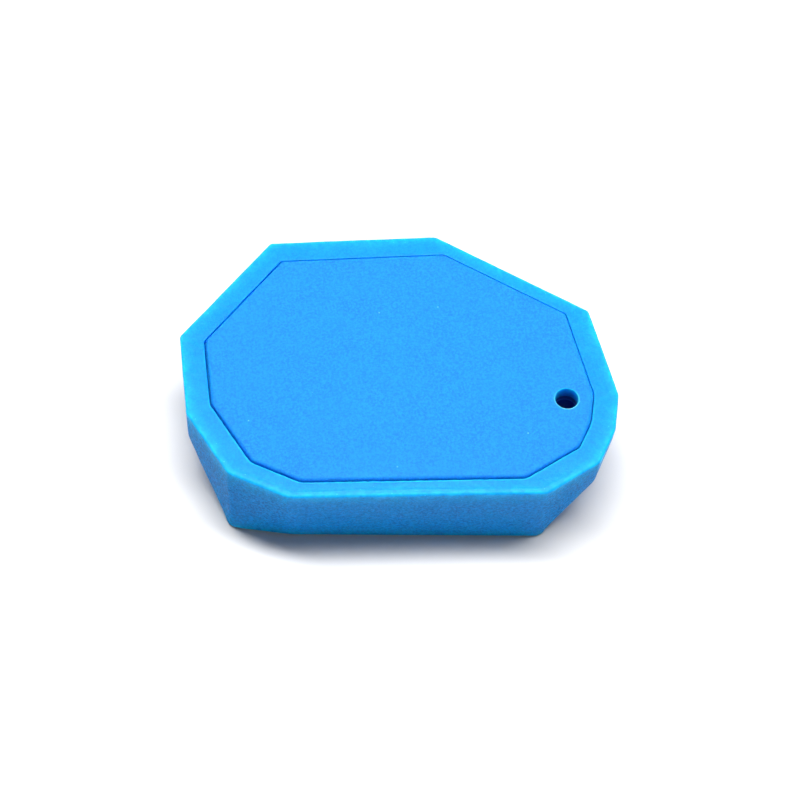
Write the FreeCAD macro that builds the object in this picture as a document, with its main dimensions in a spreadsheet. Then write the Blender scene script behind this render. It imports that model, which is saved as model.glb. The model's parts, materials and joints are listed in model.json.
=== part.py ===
import FreeCAD, Part

# Hand-held clay tool for car paint. A soft faceted grip lies with its underside on the table, and a clay
# pad on a stiff carrier is stuck into a shallow pocket in its flat upper face, a little proud of the rim.
# +Z is up, +X runs along the longest side, and the origin is on the table under the middle of the grip.

import math
import os

import Sketcher
from FreeCAD import Placement, Rotation, Vector

SIZES = {
    # grip, from the table up
    "rim_height": 20.5,
    "edge_radius": 0.55,
    # flat rim between the grip's edge and the pocket
    "rim_wide": 4.95,
    "rim_front": 3.35,
    "rim_front_left": 4.05,
    "rim_back_right": 3.35,
    "rim_back": 5.1,
    # pocket, and the layers that fill it
    "pocket_depth": 3.4,
    "pocket_corner_radius": 1.0,
    "seam_gap": 0.3,
    "film_margin": 1.5,
    "film_thickness": 0.4,
    "carrier_thickness": 1.0,
    "clay_thickness": 2.8,
    "clay_edge_radius": 0.7,
    # the pad sits slightly off centre in its pocket
    "pad_shift_right": 0.1,
    "pad_shift_front": 0.2,
    # hang hole through every layer
    "hole_right": 34.4,
    "hole_front": 9.9,
    "hole_diameter": 4.7,
}

# Corners of the grip, counterclockwise from the leftmost one: x and y at the rim, x and y of the same corner
# on the table before the facets are cut, and the rim's width along the side that starts there.
CORNERS = [
    (-45.2, 5.9, -45.0, 5.6, "rim_wide"),
    (-42.4, -12.8, -43.7, -14.4, "rim_wide"),
    (-33.2, -26.7, -34.5, -28.3, "rim_front_left"),
    (-21.1, -32.2, -21.9, -29.9, "rim_front"),
    (29.5, -31.2, 29.4, -30.3, "rim_wide"),
    (40.3, -24.3, 39.4, -23.6, "rim_wide"),
    (43.9, -16.6, 42.9, -16.2, "rim_wide"),
    (45.2, -8.3, 44.1, -8.3, "rim_wide"),
    (40.4, 12.5, 39.4, 11.9, "rim_back_right"),
    (8.4, 32.2, 8.1, 31.1, "rim_back"),
    (-27.4, 30.4, -26.8, 29.4, "rim_wide"),
]
RIM_WIDTHS = [corner[4] for corner in CORNERS]

# Slanting facets under the grip: direction each one faces, seen from above; how far its edge on the table
# is from the origin; and its tilt from upright.
FACETS = {
    "left": (189.4, 39.1, 24.2),
    "right": (0.0, 30.4, 40.0),
    "back_right": (58.4, 22.8, 36.0),
    "back": (92.9, 22.3, 35.0),
    "back_left": (144.1, 31.5, 34.0),
}
FACET_REACH = 70.0

for number, (rim_x, rim_y, foot_x, foot_y, width) in enumerate(CORNERS, 1):
    SIZES[f"rim{number}_x"] = rim_x
    SIZES[f"rim{number}_y"] = rim_y
    SIZES[f"foot{number}_x"] = foot_x
    SIZES[f"foot{number}_y"] = foot_y
for name, (direction, table_edge, tilt) in FACETS.items():
    SIZES[f"{name}_facet_direction"] = direction
    SIZES[f"{name}_facet_edge"] = table_edge
    SIZES[f"{name}_facet_tilt"] = tilt

doc = FreeCAD.newDocument("clay_bar")
sheet = doc.addObject("Spreadsheet::Sheet", "Sizes")
for row, (alias, value) in enumerate(SIZES.items(), 1):
    sheet.set(f"A{row}", alias)
    sheet.set(f"B{row}", str(value))
    sheet.setAlias(f"B{row}", alias)
doc.recompute()


def cell(alias):
    """Value of a sheet cell, for placing geometry before its constraints are solved."""
    return float(sheet.get(alias))


def new_body(name):
    body = doc.addObject("PartDesign::Body", name)
    body.Label = name
    return body


def new_sketch(body, name, role, height=None):
    """Sketch on one of the body's origin planes, raised to the height that an expression gives."""
    sketch = body.newObject("Sketcher::SketchObject", name)
    plane = next(p for p in body.Origin.OriginFeatures if p.Role == role)
    sketch.AttachmentSupport = (plane, "")
    sketch.MapMode = "FlatFace"
    if height:
        sketch.setExpression("AttachmentOffset.Base.z", height)
    return sketch


def bind(sketch, index, name, expression):
    """Names a constraint and ties it to the sheet."""
    sketch.renameConstraint(index, name)
    sketch.setExpression(f"Constraints.{name}", expression)


def draw_polygon(sketch, points, construction=False):
    """Closed polygon; returns the index of its first line."""
    first = sketch.GeometryCount
    for start, end in zip(points, points[1:] + points[:1]):
        sketch.addGeometry(Part.LineSegment(Vector(*start, 0), Vector(*end, 0)), construction)
    for side in range(len(points)):
        following = (side + 1) % len(points)
        sketch.addConstraint(Sketcher.Constraint("Coincident", first + side, 2, first + following, 1))
    return first


def inset_corners(corners, insets):
    """Corners of a counterclockwise polygon after each side has moved in by its own distance."""
    lines = []
    for start, end, inset in zip(corners, corners[1:] + corners[:1], insets):
        along = Vector(*end, 0).sub(Vector(*start, 0)).normalize()
        inward = Vector(-along.y, along.x, 0)
        lines.append((Vector(*start, 0) + inward * inset, along))
    moved = []
    for (point, along), (before, earlier) in zip(lines, lines[-1:] + lines[:-1]):
        turn = earlier.x * along.y - earlier.y * along.x
        gap = point.sub(before)
        moved.append(before + earlier * ((gap.x * along.y - gap.y * along.x) / turn))
    return [(corner.x, corner.y) for corner in moved]


def draw_grip_outline(sketch, level="rim", construction=False):
    """The grip's outline at the rim or at its foot, with every corner tied to the sheet."""
    numbers = range(1, len(CORNERS) + 1)
    corners = [(cell(f"{level}{number}_x"), cell(f"{level}{number}_y")) for number in numbers]
    first = draw_polygon(sketch, corners, construction)
    for number, (x, y) in enumerate(corners, 1):
        side = first + number - 1
        across = sketch.addConstraint(Sketcher.Constraint("DistanceX", -1, 1, side, 1, x))
        bind(sketch, across, f"corner{number}_x", f"Sizes.{level}{number}_x")
        up = sketch.addConstraint(Sketcher.Constraint("DistanceY", -1, 1, side, 1, y))
        bind(sketch, up, f"corner{number}_y", f"Sizes.{level}{number}_y")
    return corners


def draw_inset_outline(sketch, *further):
    """Outline parallel to the grip's edge: the rim's width in from it, and then by further sheet values."""
    corners = draw_grip_outline(sketch, construction=True)
    insets = [cell(width) + sum(cell(alias) for alias in further) for width in RIM_WIDTHS]
    first = draw_polygon(sketch, inset_corners(corners, insets))
    for side, width in enumerate(RIM_WIDTHS):
        sketch.addConstraint(Sketcher.Constraint("Parallel", first + side, side))
        distance = sketch.addConstraint(Sketcher.Constraint("Distance", first + side, 1, side, insets[side]))
        bind(sketch, distance, f"inset{side + 1}", " + ".join(f"Sizes.{alias}" for alias in (width, *further)))


def draw_hole(sketch, right="Sizes.hole_right", front="Sizes.hole_front"):
    """Circle of the hang hole."""
    x, y = cell("hole_right"), -cell("hole_front")
    diameter = cell("hole_diameter")
    circle = sketch.addGeometry(Part.Circle(Vector(x, y, 0), Vector(0, 0, 1), diameter / 2))
    across = sketch.addConstraint(Sketcher.Constraint("DistanceX", -1, 1, circle, 3, x))
    bind(sketch, across, "hole_x", right)
    up = sketch.addConstraint(Sketcher.Constraint("DistanceY", -1, 1, circle, 3, y))
    bind(sketch, up, "hole_y", f"-({front})")
    width = sketch.addConstraint(Sketcher.Constraint("Diameter", circle, diameter))
    bind(sketch, width, "hole_diameter", "Sizes.hole_diameter")


def pad(body, sketch, length):
    feature = body.newObject("PartDesign::Pad", f"{body.Name}_pad")
    feature.Profile = sketch
    feature.setExpression("Length", length)
    sketch.Visibility = False
    return feature


def pocket(body, sketch, name, depth=None):
    """Pocket that cuts below its sketch, or right through both ways when it has no depth."""
    feature = body.newObject("PartDesign::Pocket", name)
    feature.Profile = sketch
    if depth:
        feature.setExpression("Length", depth)
    else:
        feature.Type = "ThroughAll"
        feature.Midplane = True
    sketch.Visibility = False
    return feature


def fillet(body, name, base, edges, radius):
    feature = body.newObject("PartDesign::Fillet", name)
    feature.Base = (base, edges)
    feature.setExpression("Radius", radius)
    return feature


def upright_edges(shape, lowest, highest):
    """Names of the upright edges that run from one height to the other."""
    found = []
    for number, edge in enumerate(shape.Edges, 1):
        box = edge.BoundBox
        upright = box.XLength < 1e-6 and box.YLength < 1e-6
        if upright and abs(box.ZMin - lowest) < 1e-6 and abs(box.ZMax - highest) < 1e-6:
            found.append(f"Edge{number}")
    return found


def face_at(shape, height):
    """Name of the level face at a height."""
    for number, face in enumerate(shape.Faces, 1):
        box = face.BoundBox
        if box.ZLength < 1e-6 and abs(box.ZMin - height) < 1e-6:
            return f"Face{number}"
    raise ValueError(f"{shape} has no level face at {height}")


def cut_facet(body, name):
    """Slanting facet under the grip, cut by a triangle in the upright plane that faces its direction."""
    sketch = new_sketch(body, f"{name}_facet_sketch", "XZ_Plane")
    sketch.AttachmentOffset = Placement(Vector(), Rotation(Vector(0, 1, 0), cell(f"{name}_facet_direction")))
    sketch.setExpression("AttachmentOffset.Rotation.Angle", f"Sizes.{name}_facet_direction")
    edge = cell(f"{name}_facet_edge")
    slope = 90 - cell(f"{name}_facet_tilt")
    top = (FACET_REACH - edge) * math.tan(math.radians(slope))
    bottom_line = draw_polygon(sketch, [(edge, 0), (FACET_REACH, 0), (FACET_REACH, top)])
    upright_line = bottom_line + 1
    facet_line = bottom_line + 2
    sketch.addConstraint(Sketcher.Constraint("PointOnObject", bottom_line, 1, -1))
    sketch.addConstraint(Sketcher.Constraint("Horizontal", bottom_line))
    sketch.addConstraint(Sketcher.Constraint("Vertical", upright_line))
    sketch.addConstraint(Sketcher.Constraint("DistanceX", -1, 1, upright_line, 1, FACET_REACH))
    start = sketch.addConstraint(Sketcher.Constraint("DistanceX", -1, 1, bottom_line, 1, edge))
    bind(sketch, start, "table_edge", f"Sizes.{name}_facet_edge")
    opening = Sketcher.Constraint("Angle", bottom_line, 1, facet_line, 2, math.radians(slope))
    angle = sketch.addConstraint(opening)
    bind(sketch, angle, "slope", f"90 deg - Sizes.{name}_facet_tilt * 1 deg")
    return pocket(body, sketch, f"{name}_facet")


def make_grip():
    """Faceted block with rounded edges, a pocket in its top and the hang hole."""
    body = new_body("grip_body")
    foot = new_sketch(body, "foot_outline", "XY_Plane")
    draw_grip_outline(foot, "foot")
    rim = new_sketch(body, "rim_outline", "XY_Plane", "Sizes.rim_height")
    draw_grip_outline(rim)
    block = body.newObject("PartDesign::AdditiveLoft", "grip_block")
    block.Profile = foot
    block.Sections = [(rim, [""])]
    block.Ruled = True
    foot.Visibility = False
    rim.Visibility = False
    for name in FACETS:
        faceted = cut_facet(body, name)
    doc.recompute()
    rounded = body.newObject("PartDesign::Fillet", "grip_edges")
    rounded.Base = (faceted, [""])
    rounded.UseAllEdges = True
    rounded.setExpression("Radius", "Sizes.edge_radius")
    mouth = new_sketch(body, "pocket_outline", "XY_Plane", "Sizes.rim_height")
    draw_inset_outline(mouth)
    recess = pocket(body, mouth, "pocket", "Sizes.pocket_depth")
    doc.recompute()
    floor = cell("rim_height") - cell("pocket_depth")
    corners = upright_edges(recess.Shape, floor, cell("rim_height"))
    fillet(body, "pocket_corners", recess, corners, "Sizes.pocket_corner_radius")
    hole = new_sketch(body, "grip_hole_outline", "XY_Plane", "Sizes.rim_height")
    draw_hole(hole)
    pocket(body, hole, "grip_hole")
    return body


def make_layer(name, level, thickness, *inset):
    """Flat layer in the pocket, from a height up, that keeps clear of the pocket's walls."""
    body = new_body(name)
    outline = new_sketch(body, f"{name}_outline", "XY_Plane", level)
    draw_inset_outline(outline, *inset)
    pad(body, outline, f"Sizes.{thickness}")
    return body


def cut_layer_hole(body, level, right, front):
    hole = new_sketch(body, f"{body.Name}_hole_outline", "XY_Plane", level)
    draw_hole(hole, right, front)
    pocket(body, hole, f"{body.Name}_hole")


def shift_with_pad(body):
    """Moves a layer off centre in the pocket."""
    body.setExpression("Placement.Base.x", "Sizes.pad_shift_right")
    body.setExpression("Placement.Base.y", "-Sizes.pad_shift_front")


FLOOR = "Sizes.rim_height - Sizes.pocket_depth"
CARRIER_LEVEL = f"{FLOOR} + Sizes.film_thickness"
CLAY_LEVEL = f"{CARRIER_LEVEL} + Sizes.carrier_thickness"
SHIFTED_HOLE = ("Sizes.hole_right - Sizes.pad_shift_right", "Sizes.hole_front - Sizes.pad_shift_front")


def make_film():
    """Double-sided film on the pocket's floor, a margin smaller than the carrier that it holds."""
    body = make_layer("adhesive_film", FLOOR, "film_thickness", "film_margin")
    cut_layer_hole(body, FLOOR, "Sizes.hole_right", "Sizes.hole_front")
    return body


def make_carrier():
    """Stiff plate that the clay is moulded onto."""
    body = make_layer("carrier_plate", CARRIER_LEVEL, "carrier_thickness", "seam_gap")
    cut_layer_hole(body, CARRIER_LEVEL, *SHIFTED_HOLE)
    shift_with_pad(body)
    return body


def make_clay():
    """Slab of clay with a rounded upper edge: the working face."""
    body = make_layer("clay_pad", CLAY_LEVEL, "clay_thickness", "seam_gap")
    slab = body.Tip
    doc.recompute()
    layers = ("film_thickness", "carrier_thickness", "clay_thickness")
    top = cell("rim_height") - cell("pocket_depth") + sum(cell(alias) for alias in layers)
    fillet(body, "clay_edge", slab, [face_at(slab.Shape, top)], "Sizes.clay_edge_radius")
    cut_layer_hole(body, CLAY_LEVEL, *SHIFTED_HOLE)
    shift_with_pad(body)
    return body


def write_steps(bodies):
    """Stops on any failed object, and then writes one STEP file for each sub-part."""
    doc.recompute()
    for item in doc.Objects:
        if {"Invalid", "Error"} & set(item.State):
            raise RuntimeError(f"{item.Label} failed: {item.State}")
    for body in bodies:
        if body.Shape.isNull() or not body.Shape.isValid() or len(body.Shape.Solids) != 1:
            raise RuntimeError(f"{body.Label} is not one valid solid")
    os.makedirs("parts", exist_ok=True)
    for body in bodies:
        body.Shape.exportStep(f"parts/{body.Label}.step")
        print(f"{body.Label}: {body.Shape.Volume / 1000:.2f} cm3")


write_steps([make_grip(), make_film(), make_carrier(), make_clay()])
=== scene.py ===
import json
import math

import bpy
import numpy as np
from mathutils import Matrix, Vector, noise
from mathutils.bvhtree import BVHTree


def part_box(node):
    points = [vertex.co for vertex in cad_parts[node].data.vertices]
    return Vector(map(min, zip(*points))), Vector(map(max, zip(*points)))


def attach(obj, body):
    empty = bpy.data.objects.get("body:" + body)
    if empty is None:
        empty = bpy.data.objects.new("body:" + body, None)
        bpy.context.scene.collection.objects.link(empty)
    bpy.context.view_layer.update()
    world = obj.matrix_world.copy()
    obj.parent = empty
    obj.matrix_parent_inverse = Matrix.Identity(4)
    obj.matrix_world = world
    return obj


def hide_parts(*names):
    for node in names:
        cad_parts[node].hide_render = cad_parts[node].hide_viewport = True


MM = 0.001

# Camera: looks along +Y from 58 degrees above the table and about 30 cm away.
ELEVATION = math.radians(58)
DISTANCE = 303.6 * MM
LENS = 67.5
AIM_RIGHT = 0.7 * MM
AIM_FRONT = 9.8 * MM

# Edges of the solids.
GRIP_EDGE_RADIUS = 0.55 * MM
POCKET_LIP_RADIUS = 0.18 * MM
POCKET_FOOT_RADIUS = 0.4 * MM
CLAY_EDGE_RADIUS = 0.7 * MM
HOLE_RADIUS = 2.35 * MM
HOLE_LIP = 0.25 * MM
# Width of the painted highlight along the hang hole's lip.
LIP_HIGHLIGHT_WIDTH = 0.38 * MM
SIDE_BLEND = 0.11 * MM
SHARP_ANGLE = math.radians(40)

# Below the seam the clay swells to this gap from the pocket's wall, deeper where the seam is wider.
SQUEEZE_GAP = 0.09 * MM
SQUEEZE_FADE = 0.35 * MM
SEAM_DEPTH = 1.4

# Wear of the moulding: slow lumps, fine lumps, and a flash line along the rim.
LUMP_SIZE = 9 * MM
LUMP_HEIGHT = 0.05 * MM
FINE_LUMP_SIZE = 1.6 * MM
FINE_LUMP_HEIGHT = 0.018 * MM
FLASH_INSET = 1.25 * MM
FLASH_HEIGHT = 0.06 * MM
FLASH_WIDTH = 0.22 * MM
FLASH_WANDER = 0.18 * MM
RIM_SOFTENING = 2
FOOT_SOFTENING = 22

# Painted glow: how far the grip's colour is painted lighter from its rim's edge inward and downward, and
# up from its foot, standing in for light shining through the rubber.
GLOW_INWARD = 1.25 * MM
GLOW_DOWNWARD = 1.9 * MM
GLOW_UPWARD = 1.3 * MM
FOOT_GLOW = 0.9

# Mesh density.
COLUMNS = 840
WALL_ROWS = 50
RIM_ROWS = 22
CLAY_SIDE_ROWS = 24
HOLE_SIDES = 96
ROOM_SIDES = 64

# Surroundings, in metres.
ROOM_RADIUS = 3.0
LIT_RADIUS = 0.35
FLOOR_GREY = 0.69
WORLD_LIGHT = 0.10

OUTSIDE = 100 * MM
SMALLEST_FACE = 9 * MM ** 2

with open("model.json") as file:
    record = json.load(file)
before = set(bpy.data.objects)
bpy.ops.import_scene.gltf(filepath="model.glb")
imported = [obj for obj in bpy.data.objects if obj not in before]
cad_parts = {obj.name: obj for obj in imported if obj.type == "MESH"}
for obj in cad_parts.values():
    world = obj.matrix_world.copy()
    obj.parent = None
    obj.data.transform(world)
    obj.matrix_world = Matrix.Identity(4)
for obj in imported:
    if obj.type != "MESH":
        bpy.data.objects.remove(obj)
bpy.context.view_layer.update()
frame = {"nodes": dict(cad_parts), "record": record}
hole = Vector(next(m["pos_m"] for m in frame["record"]["mounts"] if m["name"] == "hang_hole"))


# ---- reading the frame -------------------------------------------------------------------------

def flat_faces(node):
    """Planes of a CAD node's large flat faces, as (unit normal, offset)."""
    planes = []
    for polygon in frame["nodes"][node].data.polygons:
        normal = polygon.normal
        offset = normal.dot(polygon.center)
        for plane in planes:
            if plane[0].dot(normal) > 0.99999 and abs(plane[1] - offset) < 0.02 * MM:
                plane[2] += polygon.area
                break
        else:
            planes.append([normal.copy(), offset, polygon.area])
    return [(normal, offset) for normal, offset, area in planes if area > SMALLEST_FACE]


class Prism:
    """Convex outline at every height, bounded by planes whose normals point outward."""

    def __init__(self, planes):
        self.normals = np.array([normal for normal, offset in planes])
        self.offsets = np.array([offset for normal, offset in planes])

    def reach(self, angles, height, inset=0.0):
        """Distance from the upright axis to the outline, softly rounded where two sides meet."""
        towards = np.stack([np.cos(angles), np.sin(angles)])
        along = self.normals[:, :2] @ towards
        room = (self.offsets - self.normals[:, 2] * height - inset)[:, None]
        sides = np.where(along > 0.02, room / np.maximum(along, 0.02), 1.0)
        nearest = sides.min(0)
        return nearest - SIDE_BLEND * np.log(np.exp((nearest - sides) / SIDE_BLEND).sum(0))


def around(values, places):
    """Values of the columns some places further round."""
    return np.roll(values, -places, axis=-1)


def even_angles(find_reach):
    """Directions from the axis to points spaced evenly along an outline."""
    fine = np.linspace(0, 2 * math.pi, 3001)
    points = np.stack([np.cos(fine), np.sin(fine)]) * find_reach(fine)
    run = np.concatenate([[0], np.cumsum(np.linalg.norm(np.diff(points), axis=0))])
    return np.interp(np.arange(COLUMNS) * run[-1] / COLUMNS, run, fine)


class Shell:
    """Outer skin of a CAD node, felt by rays that come in level from all round."""

    def __init__(self, node):
        mesh = frame["nodes"][node].data
        points = [vertex.co for vertex in mesh.vertices]
        self.tree = BVHTree.FromPolygons(points, [list(polygon.vertices) for polygon in mesh.polygons])

    def reach(self, angles, height):
        found = []
        for angle in angles:
            towards = Vector((math.cos(angle), math.sin(angle), 0))
            hit = self.tree.ray_cast(towards * OUTSIDE + Vector((0, 0, height)), -towards)[0]
            found.append(hit.xy.length)
        return np.array(found)


def soften(grid, passes):
    """Rounds the creases of a grid of distances a little, rows and columns alike."""
    for _ in range(passes):
        grid = (around(grid, -1) + 2 * grid + around(grid, 1)) / 4
        inner = (grid[:-2] + 2 * grid[1:-1] + grid[2:]) / 4
        grid = np.concatenate([grid[:1], inner, grid[-1:]])
    return grid


def squareness(angles, reach):
    """Cosine of the angle between each direction and the outline's own outward direction."""
    change = around(reach, 1) - around(reach, -1)
    turn = np.mod(around(angles, 1) - around(angles, -1), 2 * math.pi)
    return 1 / np.sqrt(1 + (change / turn / reach) ** 2)


# ---- mesh building -----------------------------------------------------------------------------

class Rings:
    """Stack of closed rings round the upright axis, from a middle point to a middle point."""

    def __init__(self, angles):
        self.angles = angles
        self.towards = np.stack([np.cos(angles), np.sin(angles)], 1)
        self.rings = []

    def add(self, reach, height):
        points = np.empty((len(self.angles), 3))
        points[:, :2] = self.towards * np.reshape(reach, (-1, 1))
        points[:, 2] = height
        self.rings.append(points)

    def mesh(self, name, start_height, end_height):
        count = len(self.angles)
        points = np.concatenate([*self.rings, [[0, 0, start_height], [0, 0, end_height]]])
        start, end = len(points) - 2, len(points) - 1
        column = np.arange(count)
        following = (column + 1) % count
        faces = []
        for ring in range(len(self.rings) - 1):
            near, far = ring * count, (ring + 1) * count
            quads = np.stack([near + column, far + column, far + following, near + following], 1)
            faces.extend(quads.tolist())
        last = (len(self.rings) - 1) * count
        faces.extend([[start, a, b] for a, b in zip(column.tolist(), following.tolist())])
        faces.extend([[end, last + b, last + a] for a, b in zip(column.tolist(), following.tolist())])
        mesh = bpy.data.meshes.new(name)
        mesh.from_pydata(points.tolist(), [], faces)
        mesh.update()
        return mesh


def steps(start, end, count):
    """Values from start to end, without the start."""
    return np.linspace(start, end, count + 1)[1:]


def fractal(point, size, seed, octaves=3):
    """Smooth noise from about -1 to 1 whose largest lumps are about the given size."""
    shifted = point / size + Vector((seed * 17.3, seed * 5.1, seed * 9.7))
    return noise.fractal(shifted, 1.0, 2.1, octaves, noise_basis="PERLIN_ORIGINAL")


def hole_cutter(bottom, top, lip=None):
    """Closed lathe for cutting the hang hole, flared by a small round up to the lip's height."""
    profile = [(HOLE_RADIUS, bottom)]
    if lip is not None:
        for turn in np.radians(np.linspace(0, 90, 6)):
            reach = HOLE_RADIUS + HOLE_LIP * (1 - math.cos(turn))
            profile.append((reach, lip - HOLE_LIP * (1 - math.sin(turn))))
    profile.append((profile[-1][0], top))
    points = []
    for reach, height in profile:
        for side in range(HOLE_SIDES):
            angle = 2 * math.pi * side / HOLE_SIDES
            points.append((hole.x + reach * math.cos(angle), hole.y + reach * math.sin(angle), height))
    faces = [list(range(HOLE_SIDES))[::-1]]
    for ring in range(len(profile) - 1):
        low, high = ring * HOLE_SIDES, (ring + 1) * HOLE_SIDES
        for side in range(HOLE_SIDES):
            after = (side + 1) % HOLE_SIDES
            faces.append([low + side, low + after, high + after, high + side])
    faces.append([len(points) - HOLE_SIDES + side for side in range(HOLE_SIDES)])
    mesh = bpy.data.meshes.new("hole_cutter")
    mesh.from_pydata(points, [], faces)
    cutter = bpy.data.objects.new("hole_cutter", mesh)
    bpy.context.scene.collection.objects.link(cutter)
    return cutter


def cut(piece, cutter):
    """Cuts the cutter's shape out of a piece for good, and removes the cutter."""
    modifier = piece.modifiers.new("hole", "BOOLEAN")
    modifier.operation = "DIFFERENCE"
    modifier.solver = "EXACT"
    modifier.object = cutter
    bpy.context.view_layer.update()
    graph = bpy.context.evaluated_depsgraph_get()
    mesh = bpy.data.meshes.new_from_object(piece.evaluated_get(graph))
    piece.modifiers.clear()
    piece.data = mesh
    bpy.data.objects.remove(cutter)


def new_piece(name, mesh, material):
    piece = bpy.data.objects.new(name, mesh)
    bpy.context.scene.collection.objects.link(piece)
    mesh.materials.append(material)
    return piece


def finish_shading(piece):
    piece.data.polygons.foreach_set("use_smooth", [True] * len(piece.data.polygons))
    piece.data.set_sharp_from_angle(angle=SHARP_ANGLE)


# ---- materials ---------------------------------------------------------------------------------

class Nodes:
    """Short way to wire a material."""

    def __init__(self, name):
        self.material = bpy.data.materials.new(name)
        self.material.use_nodes = True
        self.tree = self.material.node_tree
        self.shader = self.tree.nodes["Principled BSDF"]
        self.place = self.add("ShaderNodeTexCoord").outputs["Object"]

    def add(self, kind, **settings):
        node = self.tree.nodes.new(kind)
        for key, value in settings.items():
            setattr(node, key, value)
        return node

    def link(self, source, target):
        self.tree.links.new(source, target)

    def noise(self, size, detail=3.0, roughness=0.6, distortion=0.0):
        """Noise whose lumps are about the given size in metres."""
        node = self.add("ShaderNodeTexNoise")
        self.link(self.place, node.inputs["Vector"])
        node.inputs["Scale"].default_value = 1 / size
        node.inputs["Detail"].default_value = detail
        node.inputs["Roughness"].default_value = roughness
        node.inputs["Distortion"].default_value = distortion
        return node.outputs["Fac"]

    def cells(self, size):
        """Voronoi distance and random colour for cells of about the given size in metres."""
        node = self.add("ShaderNodeTexVoronoi")
        self.link(self.place, node.inputs["Vector"])
        node.inputs["Scale"].default_value = 1 / size
        return node.outputs["Distance"], node.outputs["Color"]

    def ramp(self, value, *stops):
        """Colour ramp; each stop is a position and a grey level or a colour."""
        node = self.add("ShaderNodeValToRGB")
        self.link(value, node.inputs["Fac"])
        elements = node.color_ramp.elements
        while len(elements) < len(stops):
            elements.new(0.5)
        for element, (position, level) in zip(elements, stops):
            element.position = position
            colour = level if isinstance(level, tuple) else (level, level, level)
            element.color = (*colour, 1)
        return node.outputs["Color"]

    def math(self, operation, a, b, clamp=False):
        node = self.add("ShaderNodeMath", operation=operation, use_clamp=clamp)
        for socket, value in zip(node.inputs, (a, b)):
            if isinstance(value, (int, float)):
                socket.default_value = value
            else:
                self.link(value, socket)
        return node.outputs["Value"]

    def mix(self, share, a, b):
        """Colour that goes from a to b as the share goes from 0 to 1."""
        node = self.add("ShaderNodeMix", data_type="RGBA")
        for socket, value in zip((node.inputs[0], node.inputs[6], node.inputs[7]), (share, a, b)):
            if isinstance(value, (int, float)):
                socket.default_value = value
            elif isinstance(value, tuple):
                socket.default_value = (*value, 1)
            else:
                self.link(value, socket)
        return node.outputs[2]

    def attribute(self, name):
        return self.add("ShaderNodeAttribute", attribute_name=name).outputs["Fac"]

    def hole_axis(self):
        """Distance outside the hang hole's bore, distance behind its axis, and height."""
        split = self.add("ShaderNodeSeparateXYZ")
        self.link(self.place, split.inputs["Vector"])
        across = self.math("SUBTRACT", split.outputs["X"], hole.x)
        along = self.math("SUBTRACT", split.outputs["Y"], hole.y)
        across_squared = self.math("MULTIPLY", across, across)
        squares = self.math("ADD", across_squared, self.math("MULTIPLY", along, along))
        away = self.math("SUBTRACT", self.math("SQRT", squares, 0), HOLE_RADIUS)
        return away, along, split.outputs["Z"]

    def in_bore(self):
        """1 on the wall of the hang hole."""
        return self.math("LESS_THAN", self.hole_axis()[0], 0.15 * MM)

    def rise(self, low, high):
        """0 at the low height rising to 1 at the high one."""
        height = self.hole_axis()[2]
        return self.math("DIVIDE", self.math("SUBTRACT", height, low), high - low, clamp=True)

    def painted_lip_highlight(self):
        """1 at the lip of the hang hole, mostly along its front, fading out a little way from it: where a
        highlight is painted.
        """
        away, along, height = self.hole_axis()
        near = self.math("SUBTRACT", 1, self.math("DIVIDE", away, LIP_HIGHLIGHT_WIDTH), clamp=True)
        front = self.math("SUBTRACT", 0.45, self.math("DIVIDE", along, 2 * HOLE_RADIUS), clamp=True)
        above = self.math("GREATER_THAN", height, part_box("clay_pad")[1].z - HOLE_LIP)
        return self.math("MULTIPLY", self.math("MULTIPLY", near, front), above)

    def bump(self, height, distance, under=None):
        """Normal for a height map whose full range is the given distance in metres."""
        node = self.add("ShaderNodeBump")
        node.inputs["Distance"].default_value = distance
        self.link(height, node.inputs["Height"])
        if under:
            self.link(under, node.inputs["Normal"])
        return node.outputs["Normal"]

    def specks(self, size, width, share):
        """1 on sparse round spots: cells of a size, spots of a width, on a share of the cells."""
        distance, colour = self.cells(size)
        spot = self.math("LESS_THAN", distance, width / size)
        split = self.add("ShaderNodeSeparateColor")
        self.link(colour, split.inputs["Color"])
        chosen = self.math("LESS_THAN", split.outputs["Red"], share)
        return self.math("MULTIPLY", spot, chosen)


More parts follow.
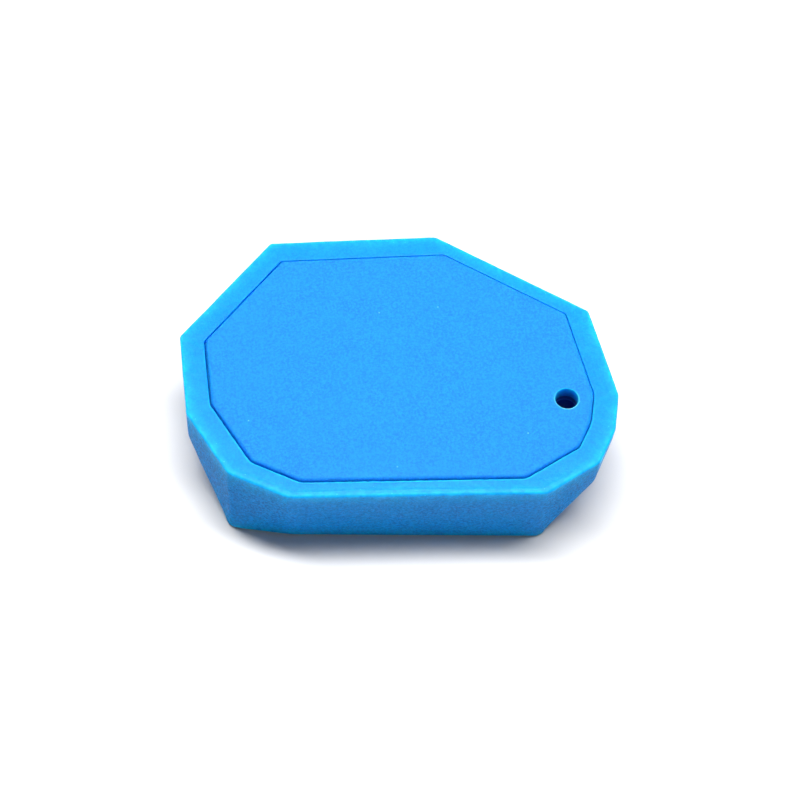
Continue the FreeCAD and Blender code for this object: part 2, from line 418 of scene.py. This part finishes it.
def grip_rubber():
    """Soft translucent moulded elastomer, grainier on its walls, painted lighter at its rim's edges, its
    foot and its pocket's front lip, with painted shade in its hang hole.
    """
    n = Nodes("grip_rubber_look")
    wall = n.attribute("wall")
    mottle = n.ramp(n.noise(0.55 * MM, detail=4, roughness=0.85), (0.41, 0.0), (0.59, 1.0))
    flat = n.mix(mottle, (0.001, 0.205, 0.64), (0.003, 0.270, 0.76))
    rough = n.mix(mottle, (0.001, 0.095, 0.38), (0.006, 0.300, 0.80))
    deep = n.mix(wall, flat, rough)
    # Painted glow: where the painted glow attribute is high the colour is painted a lighter cyan, broken
    # up by streaks, standing in for light shining through the grip's thin edges, foot and pocket lip.
    streak = n.ramp(n.noise(1.8 * MM, detail=2), (0.38, 0.5), (0.62, 1.0))
    painted_glow = n.mix(n.math("MULTIPLY", n.attribute("painted_glow"), streak), deep, (0.008, 0.50, 0.90))
    # Pale specks only where the painted glow is: partly specks on the moulding, partly painted glints.
    speck = n.math("MULTIPLY", n.specks(0.9 * MM, 0.10 * MM, 0.28), n.attribute("painted_glow"))
    base = n.mix(n.math("MULTIPLY", speck, 1.6, clamp=True), painted_glow, (0.05, 0.58, 0.96))
    # Painted shade: the hang hole's bore in the grip is painted dark blue.
    n.link(n.mix(n.in_bore(), base, (0.001, 0.06, 0.34)), n.shader.inputs["Base Color"])
    n.shader.inputs["Subsurface Weight"].default_value = 0.8
    n.shader.inputs["Subsurface Radius"].default_value = (0.15, 0.6, 1.0)
    n.shader.inputs["Subsurface Scale"].default_value = 2.4 * MM
    n.shader.inputs["IOR"].default_value = 1.42
    n.link(n.ramp(wall, (0.0, 0.16), (1.0, 0.06)), n.shader.inputs["Specular IOR Level"])
    n.link(n.ramp(n.noise(0.6 * MM, detail=3), (0.25, 0.36), (0.8, 0.55)), n.shader.inputs["Roughness"])
    fine = n.bump(n.noise(0.45 * MM, detail=3, roughness=0.65), 0.05 * MM)
    coarse = n.bump(n.noise(2.4 * MM, detail=3, roughness=0.55), 0.08 * MM, under=fine)
    n.link(coarse, n.shader.inputs["Normal"])
    return n.material


def clay():
    """Opaque polymer clay: matt, fine grain, with small pits and pale specks, and painted light at its
    hole: the top of the bore painted lighter and a painted highlight along the front of its lip.
    """
    n = Nodes("clay_look")
    grain = n.noise(0.55 * MM, detail=4, roughness=0.9)
    cloud = n.noise(6 * MM, detail=3)
    base = n.mix(n.ramp(grain, (0.40, 0.0), (0.60, 1.0)), (0.002, 0.165, 0.58), (0.008, 0.258, 0.80))
    base = n.mix(n.ramp(cloud, (0.35, 0.0), (0.65, 0.3)), base, (0.004, 0.238, 0.74))
    pit = n.specks(3.4 * MM, 0.19 * MM, 0.16)
    speck = n.specks(4.3 * MM, 0.17 * MM, 0.16)
    base = n.mix(n.math("MULTIPLY", pit, 0.4), base, (0.002, 0.10, 0.42))
    base = n.mix(n.math("MULTIPLY", speck, 0.5), base, (0.12, 0.55, 0.98))
    low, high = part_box("clay_pad")
    # Painted light: the hang hole's bore in the clay is painted lighter, more so towards its top.
    lit_bore = n.math("MULTIPLY", n.in_bore(), n.rise(low.z, high.z))
    base = n.mix(lit_bore, base, (0.004, 0.52, 0.98))
    # Painted highlight along the front of the hang hole's lip.
    base = n.mix(n.painted_lip_highlight(), base, (0.16, 0.72, 1.0))
    n.link(base, n.shader.inputs["Base Color"])
    n.shader.inputs["Subsurface Weight"].default_value = 0.8
    n.shader.inputs["Subsurface Radius"].default_value = (0.1, 0.5, 1.0)
    n.shader.inputs["Subsurface Scale"].default_value = 3.2 * MM
    n.shader.inputs["Specular IOR Level"].default_value = 0.2
    n.link(n.ramp(grain, (0.2, 0.58), (0.8, 0.78)), n.shader.inputs["Roughness"])
    n.link(n.bump(pit, -0.12 * MM, under=n.bump(grain, 0.045 * MM)), n.shader.inputs["Normal"])
    return n.material


def carrier_plastic():
    """Dark blue sheet plastic with a faint rolled grain."""
    n = Nodes("carrier_plastic_look")
    grain = n.noise(0.5 * MM, detail=4)
    n.link(n.mix(grain, (0.002, 0.05, 0.26), (0.006, 0.08, 0.34)), n.shader.inputs["Base Color"])
    n.link(n.ramp(grain, (0.3, 0.42), (0.7, 0.55)), n.shader.inputs["Roughness"])
    n.link(n.bump(grain, 0.015 * MM), n.shader.inputs["Normal"])
    return n.material


def film():
    """Tacky film, slightly wrinkled and glossy."""
    n = Nodes("film_look")
    wrinkle = n.noise(4 * MM, detail=3, distortion=1.5)
    n.link(n.mix(wrinkle, (0.01, 0.10, 0.40), (0.03, 0.16, 0.50)), n.shader.inputs["Base Color"])
    n.link(n.ramp(wrinkle, (0.3, 0.22), (0.7, 0.35)), n.shader.inputs["Roughness"])
    n.link(n.bump(wrinkle, 0.08 * MM), n.shader.inputs["Normal"])
    return n.material


# ---- the grip ----------------------------------------------------------------------------------

def pocket_mouth():
    """Outline of the pocket in the grip."""
    walls = [face for face in flat_faces("grip_body") if abs(face[0].z) < 0.01 and face[1] < 0]
    return Prism([(-normal, -offset) for normal, offset in walls])


def make_grip():
    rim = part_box("grip_body")[1].z
    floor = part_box("adhesive_film")[0].z
    shell = Shell("grip_body")
    shoulder = rim - GRIP_EDGE_RADIUS
    angles = even_angles(lambda directions: shell.reach(directions, shoulder - 0.1 * MM))
    mouth = pocket_mouth()
    rings = Rings(angles)
    add_pocket(rings, mouth.reach(angles, rim), rim, floor)
    heights = np.linspace(shoulder, GRIP_EDGE_RADIUS, WALL_ROWS)
    skin = np.array([shell.reach(angles, height) for height in heights])
    low = np.linspace(0, 1, WALL_ROWS)[:, None] ** 1.5
    skin = soften(skin, RIM_SOFTENING) * (1 - low) + soften(skin, FOOT_SOFTENING) * low
    square = squareness(angles, skin[0])
    inner = mouth.reach(angles, rim) + 1.5 * POCKET_LIP_RADIUS
    outer = skin[0] - GRIP_EDGE_RADIUS / square
    for share in steps(0, 1, RIM_ROWS):
        rings.add(inner + (outer - inner) * share, rim)
    for turn in np.radians(steps(0, 84, 7)):
        inset = GRIP_EDGE_RADIUS * (1 - math.sin(turn))
        rings.add(skin[0] - inset / square, rim - GRIP_EDGE_RADIUS * (1 - math.cos(turn)))
    for reach, height in zip(skin, heights):
        rings.add(reach, height)
    square = squareness(angles, skin[-1])
    for turn in np.radians(steps(0, 90, 5)):
        inset = GRIP_EDGE_RADIUS * (1 - math.cos(turn))
        rings.add(skin[-1] - inset / square, GRIP_EDGE_RADIUS * (1 - math.sin(turn)))
    for share in (0.97, 0.9, 0.75, 0.5, 0.25, 0.1):
        rings.add((skin[-1] - GRIP_EDGE_RADIUS / square) * share, 0.0)
    mesh = rings.mesh("grip", floor, 0.0)
    add_wear(mesh, angles, skin[0], mouth, rim)
    grip = new_piece("grip", mesh, grip_rubber())
    cut(grip, hole_cutter(-1 * MM, floor + 1 * MM))
    finish_shading(grip)
    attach(grip, "grip")
    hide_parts("grip_body")


def add_pocket(rings, pocket, rim, floor):
    """Pocket's floor, its walls and its slightly ragged lip."""
    ragged = []
    for towards, reach in zip(rings.towards, pocket):
        ragged.append(fractal(Vector((*(towards * reach), rim)), 1.1 * MM, 3))
    front = np.clip(-rings.towards[:, 1] * 1.6, 0, 1)
    pocket = pocket + np.array(ragged) * (0.035 + 0.045 * front) * MM
    foot = POCKET_FOOT_RADIUS
    for share in (0.12, 0.3, 0.5, 0.7, 0.86, 0.96):
        rings.add((pocket - foot) * share, floor)
    for turn in np.radians(np.linspace(0, 90, 5)):
        rings.add(pocket - foot * (1 - math.sin(turn)), floor + foot * (1 - math.cos(turn)))
    for height in steps(floor + foot, rim - POCKET_LIP_RADIUS, 7):
        rings.add(pocket, height)
    for turn in np.radians(steps(0, 90, 4)):
        away = POCKET_LIP_RADIUS * (1 - math.cos(turn))
        rings.add(pocket + away, rim - POCKET_LIP_RADIUS * (1 - math.sin(turn)))


def add_wear(mesh, ring_angles, ring_reach, mouth, rim):
    """Gives the moulding slight lumps and a flash line, and marks where its colour is painted lighter:
    painted glow at its rim's edge and its foot, and painted light on the pocket's front lip.
    """
    count = len(mesh.vertices)
    points = np.empty(count * 3)
    mesh.vertices.foreach_get("co", points)
    points = points.reshape(-1, 3)
    normals = np.empty(count * 3)
    mesh.vertex_normals.foreach_get("vector", normals)
    normals = normals.reshape(-1, 3)
    reach = np.hypot(points[:, 0], points[:, 1])
    angles = np.mod(np.arctan2(points[:, 1], points[:, 0]), 2 * math.pi)
    order = np.argsort(np.mod(ring_angles, 2 * math.pi))
    around_rim = np.mod(ring_angles, 2 * math.pi)[order]
    edge = np.interp(angles, around_rim, ring_reach[order], period=2 * math.pi) - reach
    opening = reach - mouth.reach(angles, rim)
    front = np.clip(-points[:, 1] / np.maximum(reach, MM) * 1.8 - 0.2, 0, 1)
    on_rim = (points[:, 2] > rim - GRIP_EDGE_RADIUS) & (opening > 0.3 * MM)
    outside = ((opening > 0.3 * MM) | (edge < 1 * MM)) & (points[:, 2] > 0.6 * MM)
    moved = np.zeros(count)
    for i in np.nonzero(outside)[0]:
        p = Vector(points[i])
        moved[i] = LUMP_HEIGHT * fractal(p, LUMP_SIZE, 1, 2)
        moved[i] += FINE_LUMP_HEIGHT * fractal(p, FINE_LUMP_SIZE, 2, 3)
    for i in np.nonzero(on_rim & (edge < 2.5 * MM))[0]:
        p = Vector(points[i])
        wander = FLASH_WANDER * fractal(p, 4 * MM, 5, 2)
        broken = 0.6 + 0.4 * fractal(p, 2.2 * MM, 6, 2)
        ridge = math.exp(-((edge[i] - FLASH_INSET - wander) / FLASH_WIDTH) ** 2)
        moved[i] += FLASH_HEIGHT * ridge * broken * front[i]
    points += normals * moved[:, None]
    mesh.vertices.foreach_set("co", points.ravel())
    depth = np.clip(rim - points[:, 2], 0, 1)
    # Painted glow: the rim's colour is painted lighter near its outer edge, fading inward and downward,
    # standing in for light shining through the thin rubber.
    painted_glow = np.exp(-np.clip(edge, 0, 1) / GLOW_INWARD) * np.exp(-depth / GLOW_DOWNWARD)
    # Painted light: the outer walls are painted lighter close to the floor, fading upward.
    foot = FOOT_GLOW * np.exp(-points[:, 2] / GLOW_UPWARD) * (opening > 0)
    # Painted light: the front lip of the pocket is painted lighter, where the seam would otherwise fall
    # into shade.
    lip = front * (opening < 0.25 * MM) * (depth < 1.5 * MM)
    paint(mesh, "painted_glow", np.maximum(np.maximum(painted_glow, foot), lip))
    sideways = np.clip(1.6 * np.abs(normals[:, 0]) + (normals[:, 1] > 0), 0, 1)
    paint(mesh, "wall", np.clip(depth / MM, 0, 1) * (opening > 0.5 * MM) * (0.55 + 0.45 * sideways))
    mesh.update()


def paint(mesh, name, values):
    """Stores a number from 0 to 1 at every point of a mesh for its material to read."""
    layer = mesh.attributes.new(name, "FLOAT", "POINT")
    layer.data.foreach_set("value", np.clip(values, 0, 1).astype(np.float32))


# ---- the clay ----------------------------------------------------------------------------------

def make_clay():
    low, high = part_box("clay_pad")
    outer = Prism([face for face in flat_faces("clay_pad") if abs(face[0].z) < 0.01])
    angles = even_angles(lambda directions: outer.reach(directions, high.z))
    rings = Rings(angles)
    shoulder = outer.reach(angles, high.z, CLAY_EDGE_RADIUS)
    for share in (0.05, 0.15, 0.3, 0.45, 0.6, 0.72, 0.82, 0.9, 0.95, 0.98, 1.0):
        rings.add(shoulder * share, high.z)
    for turn in np.radians(steps(0, 90, 9)):
        inset = CLAY_EDGE_RADIUS * (1 - math.sin(turn))
        rings.add(outer.reach(angles, 0.0, inset), high.z - CLAY_EDGE_RADIUS * (1 - math.cos(turn)))
    side = outer.reach(angles, 0.0)
    pocket = pocket_mouth().reach(angles, 0.0)
    pressed = np.maximum(side, pocket - SQUEEZE_GAP)
    seam_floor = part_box("grip_body")[1].z - SEAM_DEPTH * (pocket - side)
    for height in steps(high.z - CLAY_EDGE_RADIUS, low.z, CLAY_SIDE_ROWS):
        down = np.clip((seam_floor - height) / SQUEEZE_FADE, 0, 1)
        rings.add(side + (pressed - side) * down * down * (3 - 2 * down), height)
    for share in (0.95, 0.8, 0.5, 0.2):
        rings.add(pressed * share, low.z)
    mesh = rings.mesh("clay", high.z, low.z)
    piece = new_piece("clay", mesh, clay())
    cut(piece, hole_cutter(low.z - 1 * MM, high.z + 1 * MM, lip=high.z))
    finish_shading(piece)
    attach(piece, "pad")
    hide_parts("clay_pad")


# ---- surroundings ------------------------------------------------------------------------------

def make_camera():
    camera = bpy.data.objects.new("camera", bpy.data.cameras.new("camera"))
    bpy.context.scene.collection.objects.link(camera)
    aim = Vector((AIM_RIGHT, -AIM_FRONT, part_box("grip_body")[1].z))
    back = Vector((0, -math.cos(ELEVATION), math.sin(ELEVATION)))
    camera.location = aim + back * DISTANCE
    camera.rotation_euler = (-back).to_track_quat("-Z", "Y").to_euler()
    camera.data.lens = LENS
    camera.data.sensor_width = 36
    camera.data.clip_start = 0.01
    camera.data.clip_end = 10
    bpy.context.scene.camera = camera


def room_edge(height):
    """Corners of the round room at a height."""
    turns = np.linspace(0, 2 * math.pi, ROOM_SIDES, endpoint=False)
    return [(ROOM_RADIUS * math.cos(turn), ROOM_RADIUS * math.sin(turn), height) for turn in turns]


def room_look(name, grey):
    """Matt grey that can glow white."""
    n = Nodes(name)
    n.shader.inputs["Base Color"].default_value = (grey, grey, grey, 1)
    n.shader.inputs["Roughness"].default_value = 0.9
    n.shader.inputs["Specular IOR Level"].default_value = 0.0
    n.shader.inputs["Emission Color"].default_value = (1, 1, 1, 1)
    return n


def make_floor():
    """Pale floor that glows far from the object, where the lamps no longer reach."""
    mesh = bpy.data.meshes.new("floor")
    mesh.from_pydata(room_edge(0), [], [range(ROOM_SIDES)])
    n = room_look("floor_look", FLOOR_GREY)
    away = n.add("ShaderNodeVectorMath", operation="LENGTH")
    n.link(n.place, away.inputs[0])
    past = n.math("SUBTRACT", away.outputs["Value"], LIT_RADIUS)
    n.link(n.math("DIVIDE", past, LIT_RADIUS, clamp=True), n.shader.inputs["Emission Strength"])
    new_piece("floor", mesh, n.material)


def make_backdrop():
    """White wall round the floor that only the camera sees, so it adds no light."""
    sides = []
    for i in range(ROOM_SIDES):
        after = (i + 1) % ROOM_SIDES
        sides.append((i, after, after + ROOM_SIDES, i + ROOM_SIDES))
    mesh = bpy.data.meshes.new("backdrop")
    mesh.from_pydata(room_edge(0) + room_edge(ROOM_RADIUS), [], sides)
    n = room_look("backdrop_look", 0.0)
    n.shader.inputs["Emission Strength"].default_value = 1.0
    backdrop = new_piece("backdrop", mesh, n.material)
    backdrop.visible_diffuse = False
    backdrop.visible_glossy = False
    backdrop.visible_transmission = False
    backdrop.visible_shadow = False


def area_light(name, place, width, depth, power):
    """Rectangular lamp that faces the object."""
    light = bpy.data.lights.new(name, "AREA")
    light.shape = "RECTANGLE"
    light.size = width
    light.size_y = depth
    light.energy = power
    lamp = bpy.data.objects.new(name, light)
    bpy.context.scene.collection.objects.link(lamp)
    lamp.location = place
    lamp.rotation_euler = (-Vector(place)).to_track_quat("-Z", "Y").to_euler()


def make_lights():
    scene = bpy.context.scene
    scene.world = bpy.data.worlds.new("world")
    scene.world.use_nodes = True
    background = scene.world.node_tree.nodes["Background"]
    background.inputs["Color"].default_value = (1, 1, 1, 1)
    background.inputs["Strength"].default_value = WORLD_LIGHT
    area_light("key", (0.045, 0.15, 1.0), width=0.95, depth=0.20, power=21.0)
    area_light("fill", (0.0, -0.9, 0.4), width=0.8, depth=0.3, power=0.75)
    scene.view_settings.view_transform = "Standard"


make_camera()
make_floor()
make_backdrop()
make_lights()
make_grip()
make_clay()
frame["nodes"]["carrier_plate"].data.materials[0] = carrier_plastic()
frame["nodes"]["adhesive_film"].data.materials[0] = film()
